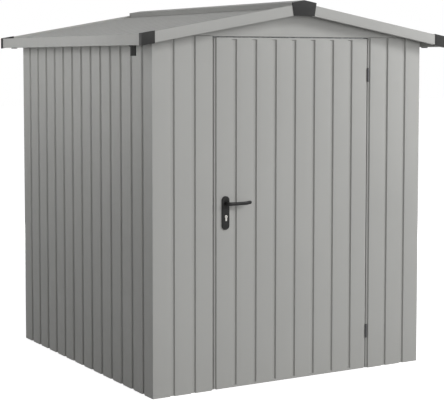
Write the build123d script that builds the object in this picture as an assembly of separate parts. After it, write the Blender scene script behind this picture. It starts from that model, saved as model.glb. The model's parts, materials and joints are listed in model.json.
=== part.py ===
"""Metal tool shed of grooved sheet steel, with a gable roof, eave gutters and one hinged door.

Millimetres, +Z up. The origin is on the ground at the centre of the walls' plan.
The front faces -Y and the door hangs on its right edge, seen from the front.
"""
import os
from math import atan2, cos, degrees, radians, sqrt, tan

from build123d import *

# Walls
wall_width = 1800.0
wall_depth = 1792.0
panel_height = 1946.0
wall_sheet = 0.5
groove_pitch = 130.0
groove_mouth = 30.0
groove_floor = 24.0
groove_depth = 10.0
groove_edge_margin = 60.0

# Roof
roof_pitch = 10.0
eave_overhang = 110.0
verge_overhang = 98.0
eave_above_panels = 8.0
fascia_height = 60.0
roof_sheet_drop = 12.0
ridge_opening = 30.0
trim_sheet = 0.6
verge_depth = 25.0
verge_lip = 20.0
gutter_width = 45.0
gutter_hem = 8.0
gutter_flange = 26.0
gutter_mouth = 25.0
ridge_cap_width = 164.0
ridge_cap_rise = 16.0
ridge_cap_flange = 12.0
ridge_notch_clearance = 0.5

# Black moulded trim
cap_wall = 3.0
corner_cap_length = 75.0
ridge_end_bottom_width = 140.0
ridge_end_bottom_drop = 12.0
spout_outer = 32.0
spout_wall = 2.0
spout_drop = 55.0
spout_flare = 42.0
spout_flare_height = 9.0
plug_diameter = 38.0
plug_height = 5.0
drain_from_middle = 840.0
drain_offset = 5.0
drain_fit = 0.2

# Inner frame
frame_sheet = 1.2
post_leg = 50.0
base_rail_height = 40.0
base_rail_foot = 40.0
eave_rail_height = 45.0
eave_rail_leg = 40.0
ridge_beam_width = 44.0
ridge_beam_depth = 60.0
ridge_beam_flange = 30.0
jamb_flange = 42.0
stop_overlap = 14.0
head_flange = 40.0
panel_return = 34.0
anchor_hole = 9.0
anchor_inset = 120.0

# Door
door_pitches = 8
door_gap = 6.0
door_ground_gap = 2.5
door_return = 27.0
door_groove_top_margin = 10.0
door_groove_bottom_margin = 10.5
stop_clearance = 8.0
lock_stile_width = 100.0
hinge_stile_width = 50.0
door_rail_height = 40.0
middle_rail_place = 780.0

# Hinges
hinge_height = 76.0
hinge_knuckle_diameter = 12.0
hinge_pin_diameter = 6.0
hinge_running_gap = 0.05
hinge_knuckle_gap = 0.4
hinge_leaf = 2.4
hinge_leaf_depth = 25.0
hinge_axis_inset = 3.0
hinge_from_door_top = 210.0
hinge_from_door_bottom = 219.5
middle_knuckle_share = 1 / 3

# Handle and lock
handle_from_door_edge = 70.0
handle_height = 1032.0
plate_width = 46.0
plate_length = 186.0
plate_top_above_spindle = 41.0
plate_thickness = 8.0
cylinder_below_spindle = 72.0
cylinder_head = 17.0
cylinder_tail_width = 10.0
cylinder_length_below = 33.0
cylinder_proud = 4.0
cylinder_fit = 0.4
neck_diameter = 20.0
neck_running_gap = 0.06
lever_inset = 0.6
lever_reach = 46.0
lever_length = 142.0
lever_grip_depth = 14.0
lever_outer_bend = 20.0
lever_inner_bend = 6.0
lever_tip_run = 30.0
lever_tip_rise = 4.0
lever_edge = 3.5
spindle_side = 8.0
spindle_hole = 16.0
lock_case_width = 84.0
lock_case_height = 165.0
lock_case_sheet = 1.5
lock_case_above_spindle = 45.0
lock_cutout_margin = 3.0
faceplate_width = 12.0
faceplate_height = 190.0
faceplate_fit = 0.3
bolt_width = 8.0
bolt_height = 30.0
latch_height = 18.0
strike_clearance = 2.0

# Extra length by which a cut passes through a piece
overrun = 5.0

# Places that follow from the sizes
half_width = wall_width / 2
half_depth = wall_depth / 2
slope = tan(radians(roof_pitch))
along_slope = cos(radians(roof_pitch))
roof_half_width = half_width + eave_overhang
roof_half_depth = half_depth + verge_overhang
eave_top = panel_height + eave_above_panels
verge_top_at_ridge = eave_top + roof_half_width * slope
groove_reach = groove_depth + wall_sheet
door_half = door_pitches * groove_pitch / 2
door_top = panel_height - door_gap
stop_depth = door_return + stop_clearance
hinge_x = door_half
hinge_y = -half_depth + hinge_axis_inset
handle_x = -door_half + handle_from_door_edge
drain_x = roof_half_width - gutter_width / 2 - drain_offset
lock_edge = -door_half + door_gap / 2
lock_middle = -half_depth + (groove_reach + door_return - frame_sheet) / 2


def verge_top(x):
    """Height of the verge trims' top edge at a distance from the middle."""
    return verge_top_at_ridge - abs(x) * slope


def sheet_top(x):
    """Height of the roof sheets' flat top face."""
    return verge_top(x) - roof_sheet_drop


def sheet_underside(x):
    """Height of the flat underside of the roof sheets."""
    return sheet_top(x) - wall_sheet / along_slope


def groove_underside(x):
    """Height of the underside of the roof sheets' grooves, where they rest on the frame."""
    return sheet_top(x) - groove_reach / along_slope


def folded_sheet(points, thickness):
    """Face of a bent sheet: a line of folds, thickened to the left of its direction."""
    line = [Vector(*point) for point in points]
    normals = []
    for start, end in zip(line, line[1:]):
        run = (end - start).normalized()
        normals.append(Vector(-run.Y, run.X))
    far_side = [line[0] + normals[0] * thickness]
    for corner, before, after in zip(line[1:], normals, normals[1:]):
        far_side.append(corner + (before + after) * (thickness / (1 + before.dot(after))))
    far_side.append(line[-1] + normals[-1] * thickness)
    return make_face(Polyline(*line, *reversed(far_side), close=True))


def grooved_line(start, end, centres):
    """Points of a grooved face: along the wall and inwards from its outer plane."""
    points = [(start, 0)]
    for centre in centres:
        points.append((centre - groove_mouth / 2, 0))
        points.append((centre - groove_floor / 2, groove_depth))
        points.append((centre + groove_floor / 2, groove_depth))
        points.append((centre + groove_mouth / 2, 0))
    points.append((end, 0))
    return points


def groove_places(half_length):
    """Centres of the grooves on a sheet: one in its middle and as many as fit on each side of it."""
    steps = int((half_length - groove_edge_margin) // groove_pitch)
    return [step * groove_pitch for step in range(-steps, steps + 1)]


def upright(face, base, height):
    """Raise a plan face from a base height."""
    return extrude(Pos(0, 0, base) * face, amount=height, dir=(0, 0, 1))


def along_y(section, start, end):
    """Run an X-Z section from one Y to another."""
    placed = Plane((0, start, 0), x_dir=(1, 0, 0), z_dir=(0, -1, 0)) * section
    return extrude(placed, amount=end - start, dir=(0, 1, 0))


def along_x(section, start, end, rise=0):
    """Run a Y-Z section from one X to another, climbing by a slope on the way."""
    placed = Plane((start, 0, 0), x_dir=(0, 1, 0), z_dir=(1, 0, 0)) * section
    run = Vector(end - start, 0, (end - start) * rise)
    return extrude(placed, amount=run.length, dir=run)


def left_and_right(piece):
    """A piece and its mirror image across the shed's middle plane."""
    return piece, mirror(piece, about=Plane.YZ)


def at_corners(piece):
    """A front left piece and its copies at the other three corners."""
    pair = left_and_right(piece)
    return [*pair, *(mirror(part, about=Plane.XZ) for part in pair)]


front_plan = Plane((0, -half_depth, 0), x_dir=(1, 0, 0), z_dir=(0, 0, 1))
rear_plan = Plane((0, half_depth, 0), x_dir=(-1, 0, 0), z_dir=(0, 0, 1))
left_plan = Plane((-half_width, 0, 0), x_dir=(0, -1, 0), z_dir=(0, 0, 1))
right_plan = Plane((half_width, 0, 0), x_dir=(0, 1, 0), z_dir=(0, 0, 1))


def side_wall(plan):
    """One side wall: a grooved sheet between the front and rear sheets, up to the roof."""
    reach = half_depth - wall_sheet
    face = folded_sheet(grooved_line(-reach, reach, groove_places(half_depth)), wall_sheet)
    return upright(plan * face, 0, groove_underside(half_width))


def rear_wall():
    """The rear wall: one grooved sheet as wide as the shed."""
    line = grooved_line(-half_width, half_width, groove_places(half_width))
    return upright(rear_plan * folded_sheet(line, wall_sheet), 0, panel_height)


def front_wall_left():
    """The narrow front panel: grooves up to the doorway, where its edge turns inwards."""
    centres = [place for place in groove_places(half_width) if place < -door_half - groove_pitch / 2]
    line = grooved_line(-half_width, -door_half - groove_mouth / 2, centres)
    line.append((-door_half - groove_floor / 2, groove_depth))
    line.append((-door_half - door_gap / 2, groove_depth))
    line.append((-door_half - door_gap / 2, panel_return))
    return upright(front_plan * folded_sheet(line, wall_sheet), 0, panel_height)


def gable(y_outer, y_inner):
    """A flat gable sheet under the roof, from the panels' top upwards."""
    outline = [
        (-half_width, panel_height),
        (half_width, panel_height),
        (half_width, sheet_underside(half_width)),
        (0, sheet_underside(0)),
        (-half_width, sheet_underside(half_width)),
    ]
    face = make_face(Polyline(*outline, close=True))
    low, high = sorted((y_outer, y_inner))
    return along_y(face, low, high)


def front_gable():
    """The front gable sheet, with its lower edge turned in over the door."""
    lip = Box(2 * door_half + door_gap, panel_return, wall_sheet, align=(Align.CENTER, Align.MIN, Align.MIN))
    return gable(-half_depth, -half_depth + wall_sheet) + Pos(0, -half_depth, panel_height) * lip


def corner_post():
    """The front left corner post: an angle inside the meeting sheets."""
    x_inner = -half_width + wall_sheet
    y_inner = -half_depth + wall_sheet
    line = [(x_inner, y_inner + post_leg), (x_inner, y_inner), (x_inner + post_leg, y_inner)]
    return upright(folded_sheet(line, frame_sheet), 0, panel_height)


def base_rail_side():
    """The left base rail: an angle on the ground, against the wall's grooves."""
    x_outer = -half_width + groove_reach
    line = [(x_outer, base_rail_height), (x_outer, 0), (x_outer + base_rail_foot, 0)]
    reach = half_depth - wall_sheet - frame_sheet
    rail = along_y(folded_sheet(line, frame_sheet), -reach, reach)
    hole = Cylinder(anchor_hole / 2, base_rail_height)
    hole_x = x_outer + (base_rail_foot + frame_sheet) / 2
    for side in (-1, 1):
        rail -= Pos(hole_x, side * (half_depth - anchor_inset), 0) * hole
    return rail


def base_rail_cross(y_outer, inwards):
    """The front or rear base rail, between the feet of the side rails."""
    line = [(y_outer, base_rail_height), (y_outer, 0), (y_outer + inwards * base_rail_foot, 0)]
    reach = half_width - groove_reach - base_rail_foot
    return along_x(folded_sheet(line, inwards * frame_sheet), -reach, reach)


def eave_rail():
    """The left eave rail: an angle at the wall's top, with its leg under the roof sheet."""
    x_outer = -half_width + groove_reach
    line = [
        (x_outer, groove_underside(x_outer) - eave_rail_height),
        (x_outer, groove_underside(x_outer)),
        (x_outer + eave_rail_leg, groove_underside(x_outer + eave_rail_leg)),
    ]
    reach = half_depth - wall_sheet - frame_sheet
    return along_y(folded_sheet(line, -frame_sheet), -reach, reach)


def ridge_beam():
    """The ridge beam: a hat section from gable to gable, with its flanges under the roof sheets."""
    inner = ridge_beam_width / 2
    outer = inner + ridge_beam_flange
    line = [
        (-outer, groove_underside(outer)),
        (-inner, groove_underside(inner)),
        (-inner, groove_underside(inner) - ridge_beam_depth),
        (inner, groove_underside(inner) - ridge_beam_depth),
        (inner, groove_underside(inner)),
        (outer, groove_underside(outer)),
    ]
    reach = half_depth - wall_sheet
    return along_y(folded_sheet(line, -frame_sheet), -reach, reach)


def door_jamb():
    """The left door jamb: a folded section behind the panel's edge, with a stop behind the door."""
    edge = -door_half - door_gap / 2 - wall_sheet
    line = [
        (edge - jamb_flange, groove_reach),
        (edge, groove_reach),
        (edge, stop_depth),
        (edge + wall_sheet + door_gap + stop_overlap, stop_depth),
    ]
    top = door_top - stop_overlap
    return upright(front_plan * folded_sheet(line, frame_sheet), base_rail_height, top - base_rail_height)


def roof_sheet():
    """The left roof sheet: grooves down the slope, from the ridge opening into the gutter."""
    start = -ridge_opening / 2
    end = -roof_half_width + gutter_mouth
    plane = Plane(
        (start, 0, sheet_top(start)),
        x_dir=(0, 1, 0),
        z_dir=(-along_slope, 0, -slope * along_slope),
    )
    reach = roof_half_depth - verge_depth / 2
    face = folded_sheet(grooved_line(-reach, reach, groove_places(half_depth)), wall_sheet)
    run = (start - end) / along_slope
    return extrude(plane * face, amount=run, dir=plane.z_dir)


def verge_line(top):
    """Folds of a front verge trim, from its foot on the roof sheet round to the lip below."""
    outer = -roof_half_depth
    return [
        (outer + verge_depth, top - roof_sheet_drop),
        (outer + verge_depth, top),
        (outer, top),
        (outer, top - fascia_height),
        (outer + verge_lip, top - fascia_height),
    ]


def verge():
    """The front left verge trim: a folded fascia that climbs with the roof."""
    section = folded_sheet(verge_line(verge_top(roof_half_width)), trim_sheet)
    return along_x(section, -roof_half_width, 0, slope)


def corner_cap():
    """The front left corner cap: a moulded sleeve over the verge's lower end, closed on the eave side."""
    start = -roof_half_width - cap_wall
    section = folded_sheet(verge_line(verge_top(start)), -cap_wall)
    sleeve = along_x(section, start, -roof_half_width + corner_cap_length, slope)
    end_plate = Box(
        cap_wall,
        verge_depth + 2 * cap_wall,
        fascia_height + 2 * cap_wall,
        align=(Align.MIN, Align.MIN, Align.MAX),
    )
    place = Pos(start, -roof_half_depth - cap_wall, verge_top(roof_half_width) + cap_wall)
    return sleeve + place * end_plate


def gutter():
    """The left eave gutter: fascia, trough and a flange under the roof sheet, closed at both ends."""
    outer = -roof_half_width
    inner = outer + gutter_width
    bottom = eave_top - fascia_height
    line = [
        (outer + gutter_hem, eave_top),
        (outer, eave_top),
        (outer, bottom),
        (inner, bottom),
        (inner, groove_underside(inner) - trim_sheet / along_slope),
        (inner + gutter_flange, groove_underside(inner + gutter_flange) - trim_sheet / along_slope),
    ]
    reach = roof_half_depth - verge_depth - cap_wall
    channel = along_y(folded_sheet(line, trim_sheet), -reach, reach)
    stop_outline = [
        (outer, bottom),
        (inner, bottom),
        (inner, groove_underside(inner)),
        (outer, groove_underside(outer)),
    ]
    stop = make_face(Polyline(*stop_outline, close=True))
    channel += along_y(stop, -reach, -reach + trim_sheet)
    channel += along_y(stop, reach - trim_sheet, reach)
    hole = Cylinder(spout_outer / 2 + drain_fit, fascia_height)
    for side in (-1, 1):
        channel -= Pos(-drain_x, side * drain_from_middle, bottom) * hole
    return channel


def drain_spout():
    """A left drain spout: a short pipe through the gutter's bottom, flared out to the gutter's middle."""
    pipe = Cylinder(spout_outer / 2, spout_drop + trim_sheet, align=(Align.CENTER, Align.CENTER, Align.MIN))
    flare = loft([
        Pos(0, 0, -spout_flare_height) * Circle(spout_outer / 2),
        Pos(-drain_offset, 0, 0) * Circle(spout_flare / 2),
    ])
    bore = Cylinder(spout_outer / 2 - spout_wall, 2 * spout_drop + 2 * overrun)
    return Pos(0, 0, eave_top - fascia_height) * (Pos(0, 0, -spout_drop) * pipe + flare - bore)


def drain_plug():
    """A drain plug: a shallow disc under the gutter with a stem in its hole."""
    bottom_face = eave_top - fascia_height
    disc = Cylinder(plug_diameter / 2, plug_height, align=(Align.CENTER, Align.CENTER, Align.MAX))
    stem = Cylinder(spout_outer / 2, plug_height, align=(Align.CENTER, Align.CENTER, Align.MIN))
    return Pos(0, 0, bottom_face) * (disc + stem)


def ridge_cap():
    """The ridge cap: a shallow folded cover with upright sides, notched over the verge trims."""
    inner = ridge_cap_width / 2
    edge_top = verge_top(inner) + ridge_cap_rise
    outer = inner + ridge_cap_flange
    line = [
        (outer, sheet_top(outer)),
        (inner, sheet_top(inner)),
        (inner, edge_top),
        (0, verge_top(0) + ridge_cap_rise),
        (-inner, edge_top),
        (-inner, sheet_top(inner)),
        (-outer, sheet_top(outer)),
    ]
    cap = along_y(folded_sheet(line, -trim_sheet), -roof_half_depth, roof_half_depth)
    notch = Box(
        2 * outer + 2 * overrun,
        verge_depth + ridge_notch_clearance + overrun,
        fascia_height,
        align=(Align.CENTER, Align.MIN, Align.MAX),
    )
    top = verge_top(inner) + ridge_notch_clearance
    start = roof_half_depth - verge_depth - ridge_notch_clearance
    front_notch = Pos(0, start, top) * notch
    return cap - front_notch - mirror(front_notch, about=Plane.XZ)


def ridge_end_cap():
    """The front ridge end cap: a moulded plate over the ridge cap's end and the meeting verges."""
    half_top = ridge_cap_width / 2
    half_bottom = ridge_end_bottom_width / 2
    bottom = verge_top(0) - fascia_height - ridge_end_bottom_drop
    outline = [
        (-half_bottom, bottom),
        (half_bottom, bottom),
        (half_top, verge_top(half_top) + ridge_cap_rise),
        (0, verge_top(0) + ridge_cap_rise),
        (-half_top, verge_top(half_top) + ridge_cap_rise),
    ]
    face = make_face(Polyline(*outline, close=True))
    return along_y(face, -roof_half_depth - cap_wall, -roof_half_depth)


def door_head():
    """The head over the doorway: a folded section behind the gable, with a stop behind the door."""
    reach = door_half + door_gap / 2 + wall_sheet + frame_sheet
    inner_face = -half_depth + wall_sheet
    base = panel_height + wall_sheet
    line = [
        (inner_face, base + head_flange),
        (inner_face, base),
        (-half_depth + stop_depth, base),
        (-half_depth + stop_depth, door_top - stop_overlap),
    ]
    return along_x(folded_sheet(line, frame_sheet), -reach, reach)


def pressed_groove(length, widen, depth):
    """A tapered bar as wide as a groove, laid along Z, going inwards from the front plane."""
    flare = degrees(atan2((groove_mouth - groove_floor) / 2, groove_depth))
    plane = Plane((0, 0, 0), x_dir=(1, 0, 0), z_dir=(0, 1, 0))
    mouth = Rectangle(groove_mouth + 2 * widen, length + 2 * widen)
    return extrude(plane * mouth, amount=depth, taper=flare)


def cylinder_section(extra):
    """Outline of the lock cylinder: a round head with a narrower round-ended tail below."""
    head = Circle(cylinder_head / 2 + extra)
    tail_reach = cylinder_length_below - cylinder_head / 2 - cylinder_tail_width / 2
    tail = Pos(0, -tail_reach / 2) * Rectangle(cylinder_tail_width + 2 * extra, tail_reach)
    end = Pos(0, -tail_reach) * Circle(cylinder_tail_width / 2 + extra)
    return head + tail + end


def through_door(section, outside, inside):
    """Run an X-Z section, placed about the spindle, from outside the door to inside it."""
    plane = Plane((handle_x, -half_depth - outside, handle_height), x_dir=(1, 0, 0), z_dir=(0, -1, 0))
    return extrude(plane * section, amount=outside + inside, dir=(0, 1, 0))


def lock_openings(depth):
    """The holes that the spindle and the cylinder need through the lock case."""
    spindle_room = through_door(Circle(spindle_hole / 2), overrun, depth)
    slot = Rectangle(cylinder_head + 2 * cylinder_fit, cylinder_length_below + 2 * cylinder_fit)
    slot_middle = cylinder_head / 2 - cylinder_below_spindle - cylinder_length_below / 2
    return spindle_room + through_door(Pos(0, slot_middle) * slot, overrun, depth)


def lock_cutout(depth):
    """The opening behind the handle plates, for the spindle and the cylinder together."""
    top = spindle_hole / 2 + lock_cutout_margin
    bottom = cylinder_head / 2 - cylinder_below_spindle - cylinder_length_below - lock_cutout_margin
    section = Rectangle(cylinder_head + 2 * lock_cutout_margin, top - bottom)
    return through_door(Pos(0, (top + bottom) / 2) * section, overrun, depth)


def faceplate_opening():
    """The opening in the door's free edge that the lock's faceplate fills."""
    height = faceplate_height + 2 * faceplate_fit
    opening = Box(2 * overrun, faceplate_width + 2 * faceplate_fit, height)
    return Pos(lock_edge, lock_middle, lock_case_middle()) * opening


def bolt_windows(edge, reach, clearance):
    """Windows for the latch and the bolt, through an upright sheet at a given X."""
    depth = bolt_width + 2 * clearance
    latch = Pos(edge, lock_middle, handle_height) * Box(2 * reach, depth, latch_height + 2 * clearance)
    bolt_place = Pos(edge, lock_middle, handle_height - cylinder_below_spindle)
    return latch, bolt_place * Box(2 * reach, depth, bolt_height + 2 * clearance)


def door_skin():
    """The door's outer sheet: folded edges and pressed grooves that stop short of its ends."""
    edge = door_half - door_gap / 2
    strip = door_half - groove_floor / 2
    flat = door_half - groove_mouth / 2
    line = [
        (-edge, door_return),
        (-edge, groove_depth),
        (-strip, groove_depth),
        (-flat, 0),
        (flat, 0),
        (strip, groove_depth),
        (edge, groove_depth),
        (edge, door_return),
    ]
    skin = upright(front_plan * folded_sheet(line, wall_sheet), door_ground_gap, door_top - door_ground_gap)
    flange = Box(2 * flat, door_return, wall_sheet, align=(Align.CENTER, Align.MIN, Align.MIN))
    skin += Pos(0, -half_depth, door_ground_gap) * flange
    skin += Pos(0, -half_depth, door_top - wall_sheet) * flange
    low = door_ground_gap + door_groove_bottom_margin
    high = door_top - door_groove_top_margin
    flare = (groove_mouth - groove_floor) / 2
    widen = wall_sheet * sqrt(1 + (flare / groove_depth) ** 2)
    outside = pressed_groove(high - low, 0, groove_depth)
    inside = pressed_groove(high - low, widen, groove_reach)
    places = [Pos(x, -half_depth, (low + high) / 2) for x in groove_places(door_half)]
    skin += [place * inside for place in places]
    skin -= [place * outside for place in places]
    return skin - lock_cutout(overrun) - faceplate_opening()


def lock_stile():
    """The lock stile: a wide channel behind the door's free edge, open towards the skin."""
    start = -door_half + door_gap / 2 + wall_sheet
    line = [
        (start, groove_reach),
        (start, door_return),
        (start + lock_stile_width, door_return),
        (start + lock_stile_width, wall_sheet),
    ]
    low = door_ground_gap + wall_sheet
    stile = upright(front_plan * folded_sheet(line, -frame_sheet), low, door_top - wall_sheet - low)
    return stile - lock_cutout(door_return + overrun) - faceplate_opening()


def hinge_stile():
    """The hinge stile: a channel behind the door's hinge edge."""
    end = door_half - door_gap / 2 - wall_sheet
    line = [
        (end - hinge_stile_width, wall_sheet),
        (end - hinge_stile_width, door_return),
        (end, door_return),
        (end, groove_reach),
    ]
    low = door_ground_gap + wall_sheet
    return upright(front_plan * folded_sheet(line, -frame_sheet), low, door_top - wall_sheet - low)


def door_rail(centre):
    """A cross rail of the door: a channel between the stiles, on the backs of the grooves."""
    start = -door_half + door_gap / 2 + wall_sheet + lock_stile_width
    end = door_half - door_gap / 2 - wall_sheet - hinge_stile_width
    near = -half_depth + groove_reach
    far = -half_depth + door_return
    line = [
        (far, centre - door_rail_height / 2),
        (near, centre - door_rail_height / 2),
        (near, centre + door_rail_height / 2),
        (far, centre + door_rail_height / 2),
    ]
    return along_x(folded_sheet(line, -frame_sheet), start, end)


def door_rails():
    """The three cross rails behind the skin."""
    low = door_ground_gap + wall_sheet + door_rail_height / 2
    high = door_top - wall_sheet - door_rail_height / 2
    return [door_rail(centre) for centre in (low, middle_rail_place, high)]


def knuckle(low, high, widen=0):
    """A length of a hinge's barrel."""
    barrel = Cylinder(hinge_knuckle_diameter / 2 + widen, high - low)
    return Pos(0, 0, (low + high) / 2) * barrel


def hinge_plate(side):
    """A hinge's leaf: a plate in the gap beside the door, inwards from the barrel."""
    plate = Box(hinge_leaf, hinge_leaf_depth, hinge_height, align=(Align.CENTER, Align.MIN, Align.CENTER))
    return Pos(side * (door_gap / 2 - hinge_leaf / 2), 0, 0) * plate


def hinge_frame_leaf():
    """The fixed leaf: end knuckles, the pin between them and the plate on the panel's edge."""
    end = hinge_height / 2
    middle = end * middle_knuckle_share
    leaf = hinge_plate(1) - knuckle(-middle, middle, hinge_knuckle_gap)
    leaf += knuckle(-end, -middle) + knuckle(middle, end)
    return leaf + Cylinder(hinge_pin_diameter / 2, hinge_height)


def hinge_door_leaf():
    """The moving leaf: the middle knuckle with its bore and the plate on the door's edge."""
    end = hinge_height / 2
    middle = end * middle_knuckle_share
    leaf = hinge_plate(-1)
    leaf -= knuckle(-end, -middle + hinge_knuckle_gap, hinge_knuckle_gap)
    leaf -= knuckle(middle - hinge_knuckle_gap, end, hinge_knuckle_gap)
    leaf += knuckle(-middle + hinge_knuckle_gap, middle - hinge_knuckle_gap)
    return leaf - Cylinder(hinge_pin_diameter / 2 + hinge_running_gap, hinge_height)


def at_hinges(leaf):
    """Both hinges' copies of a leaf."""
    heights = (door_ground_gap + hinge_from_door_bottom, door_top - hinge_from_door_top)
    return [Pos(hinge_x, hinge_y, height) * leaf for height in heights]


def plate_outline():
    """Outline of a handle plate about the spindle, with round ends."""
    middle = plate_top_above_spindle - plate_length / 2
    return Pos(0, middle) * SlotOverall(plate_length, plate_width, rotation=90)


def handle_plate(outside, inside):
    """A handle plate, with a bearing for the lever's neck and the cylinder's hole."""
    plate = through_door(plate_outline(), outside, inside)
    bearing = through_door(Circle(neck_diameter / 2 + neck_running_gap), outside + overrun, inside + overrun)
    section = Pos(0, -cylinder_below_spindle) * cylinder_section(cylinder_fit)
    return plate - bearing - through_door(section, outside + overrun, inside + overrun)


def lock_cylinder():
    """The lock cylinder, right through the door and a little proud of both plates."""
    section = Pos(0, -cylinder_below_spindle) * cylinder_section(0)
    reach = plate_thickness + cylinder_proud
    return through_door(section, reach, door_return + reach)


def lock_case_middle():
    """Height of the lock case's middle."""
    return handle_height + lock_case_above_spindle - lock_case_height / 2


def lock_case():
    """The lock: a case inside the lock stile, and the faceplate in the door's edge with its windows."""
    plate_depth = wall_sheet + frame_sheet
    thickness = door_return - frame_sheet - groove_reach
    wall = 2 * lock_case_sheet
    case = Box(lock_case_width, thickness, lock_case_height)
    case -= Box(lock_case_width - wall, thickness - wall, lock_case_height - wall)
    plate = Box(plate_depth, faceplate_width, faceplate_height, align=(Align.MIN, Align.CENTER, Align.CENTER))
    lock = Pos(plate_depth + lock_case_width / 2, 0, 0) * case + plate
    lock = Pos(lock_edge, lock_middle, lock_case_middle()) * lock
    lock -= bolt_windows(lock_edge, plate_depth + wall, 0)
    return lock - lock_openings(door_return + overrun)


def lever_plan():
    """Outline of the lever seen from above: away from the door and then along it."""
    half = neck_diameter / 2
    near = lever_reach - lever_grip_depth / 2
    far = lever_reach + lever_grip_depth / 2
    foot = near - 2 * lever_inner_bend
    outer_corner = (-half, far)
    inner_corner = (half, near)
    tip_corners = [(lever_length, far), (lever_length, near)]
    outline = Polyline((-half, foot), outer_corner, *tip_corners, inner_corner, (half, foot), close=True)
    plan = make_face(outline)
    plan = fillet(plan.vertices().sort_by_distance(outer_corner)[0], lever_outer_bend)
    return fillet(plan.vertices().sort_by_distance(inner_corner)[0], lever_inner_bend)


def lever_side():
    """Outline of the lever seen from the front: a bar whose round tip steps up a little."""
    half = neck_diameter / 2
    tip = Vector(lever_length - half, lever_tip_rise)
    rise_start = tip - Vector(lever_tip_run, lever_tip_rise)
    rise_middle = (rise_start + tip) / 2
    first_arc = TangentArc(rise_start, rise_middle, tangent=(1, 0))
    last_arc = TangentArc(rise_middle, tip, tangent=first_arc % 1)
    bar = trace([Line((-half, 0), rise_start), first_arc, last_arc], line_width=neck_diameter)
    return bar + Pos(*tip) * Circle(half)


def lever():
    """The inner lever about its spindle: a round neck, and a bar cut to both outlines, with broken edges."""
    side_plane = Plane((0, 0, 0), x_dir=(1, 0, 0), z_dir=(0, -1, 0))
    bar = extrude(lever_plan(), amount=lever_length, both=True)
    bar &= extrude(side_plane * lever_side(), amount=lever_length, both=True)
    foot_edges = bar.faces().sort_by(Axis.Y)[0].edges()
    bar = chamfer(bar.edges().filter_by(lambda edge: edge not in foot_edges), lever_edge)
    neck_face = Plane((0, 0, 0), z_dir=(0, 1, 0)) * Circle(neck_diameter / 2)
    return bar + extrude(neck_face, amount=lever_reach - lever_grip_depth / 2, dir=(0, 1, 0))


def outer_lever():
    """The lever outside, from its bearing in the outer plate."""
    return Pos(handle_x, -half_depth - lever_inset, handle_height) * mirror(lever(), about=Plane.XZ)


def inner_lever():
    """The lever inside, from its bearing in the inner plate."""
    return Pos(handle_x, -half_depth + door_return + lever_inset, handle_height) * lever()


def spindle():
    """The square spindle between the two levers."""
    return through_door(Rectangle(spindle_side, spindle_side), lever_inset, door_return + lever_inset)


def write(name, *solids):
    """Write one named piece, of one solid or of several that don't touch."""
    shape = solids[0] if len(solids) == 1 else Compound(children=list(solids))
    export_step(shape, os.path.join("parts", name + ".step"))


def write_walls():
    """Write the sheets of the walls and gables."""
    front_left, front_right = left_and_right(front_wall_left())
    doorway_edge = -door_half - door_gap / 2
    write("front_wall_left", front_left - bolt_windows(doorway_edge, overrun, strike_clearance))
    write("front_wall_right", front_right)
    write("left_wall", side_wall(left_plan))
    write("right_wall", side_wall(right_plan))
    write("rear_wall", rear_wall())
    write("front_gable", front_gable())
    write("rear_gable", gable(half_depth, half_depth - wall_sheet))


def write_frame():
    """Write the rails, posts and beams inside the sheets."""
    write("corner_posts", *at_corners(corner_post()))
    for side, rail in zip(("left", "right"), left_and_right(base_rail_side())):
        write("base_rail_" + side, rail)
    write("base_rail_front", base_rail_cross(-half_depth + stop_depth, 1))
    write("base_rail_rear", base_rail_cross(half_depth - groove_reach, -1))
    for side, rail in zip(("left", "right"), left_and_right(eave_rail())):
        write("eave_rail_" + side, rail)
    left_jamb, right_jamb = left_and_right(door_jamb())
    doorway_edge = -door_half - door_gap / 2
    write("door_jamb_left", left_jamb - bolt_windows(doorway_edge, overrun, strike_clearance))
    write("door_jamb_right", right_jamb)
    write("door_head", door_head())
    write("ridge_beam", ridge_beam())


def write_roof():
    """Write the roof sheets, the folded trims and the black moulded pieces."""
    for side, sheet in zip(("left", "right"), left_and_right(roof_sheet())):
        write("roof_sheet_" + side, sheet)
    for side, trim in zip(("left", "right"), left_and_right(verge())):
        write("verge_front_" + side, trim)
        write("verge_rear_" + side, mirror(trim, about=Plane.XZ))
    write("corner_caps", *at_corners(corner_cap()))
    for side, channel in zip(("left", "right"), left_and_right(gutter())):
        write("gutter_" + side, channel)
    write("ridge_cap", ridge_cap())
    front_end = ridge_end_cap()
    write("ridge_end_caps", front_end, mirror(front_end, about=Plane.XZ))
    spout = Pos(-drain_x, -drain_from_middle, 0) * drain_spout()
    plug = Pos(drain_x, -drain_from_middle, 0) * drain_plug()
    half_turn = Rot(0, 0, 180)
    write("drain_spouts", spout, half_turn * spout)
    write("drain_plugs", plug, half_turn * plug)


def write_door():
    """Write the door, its hinges, its lock and its handle."""
    write("door_skin", door_skin())
    write("lock_stile", lock_stile())
    write("hinge_stile", hinge_stile())
    write("door_rails", *door_rails())
    write("hinge_frame_leaves", *at_hinges(hinge_frame_leaf()))
    write("hinge_door_leaves", *at_hinges(hinge_door_leaf()))
    write("lock_case", lock_case())
    write("lock_cylinder", lock_cylinder())
    write("handle_plate_outer", handle_plate(plate_thickness, 0))
    write("handle_plate_inner", handle_plate(-door_return, door_return + plate_thickness))
    write("lever_outer", outer_lever())
    write("lever_inner", inner_lever())
    write("spindle", spindle())


def main():
    """Build every piece and write it to its own file."""
    os.makedirs("parts", exist_ok=True)
    write_walls()
    write_frame()
    write_roof()
    write_door()


if __name__ == "__main__":
    main()
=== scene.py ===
"""Dressed scene of a metal tool shed: grooved sheet walls, a shallow gabled roof and one hinged door.

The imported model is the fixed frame. Lengths are in metres in the frame's own axes, and the front faces -Y.
The outside sheets and trims are folded again here with rounded bends; the inner frame keeps its own solids.
"""

import json
import logging
import math
from dataclasses import dataclass
from enum import Enum
from itertools import chain
from typing import Callable, Iterable, NamedTuple, Sequence

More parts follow.
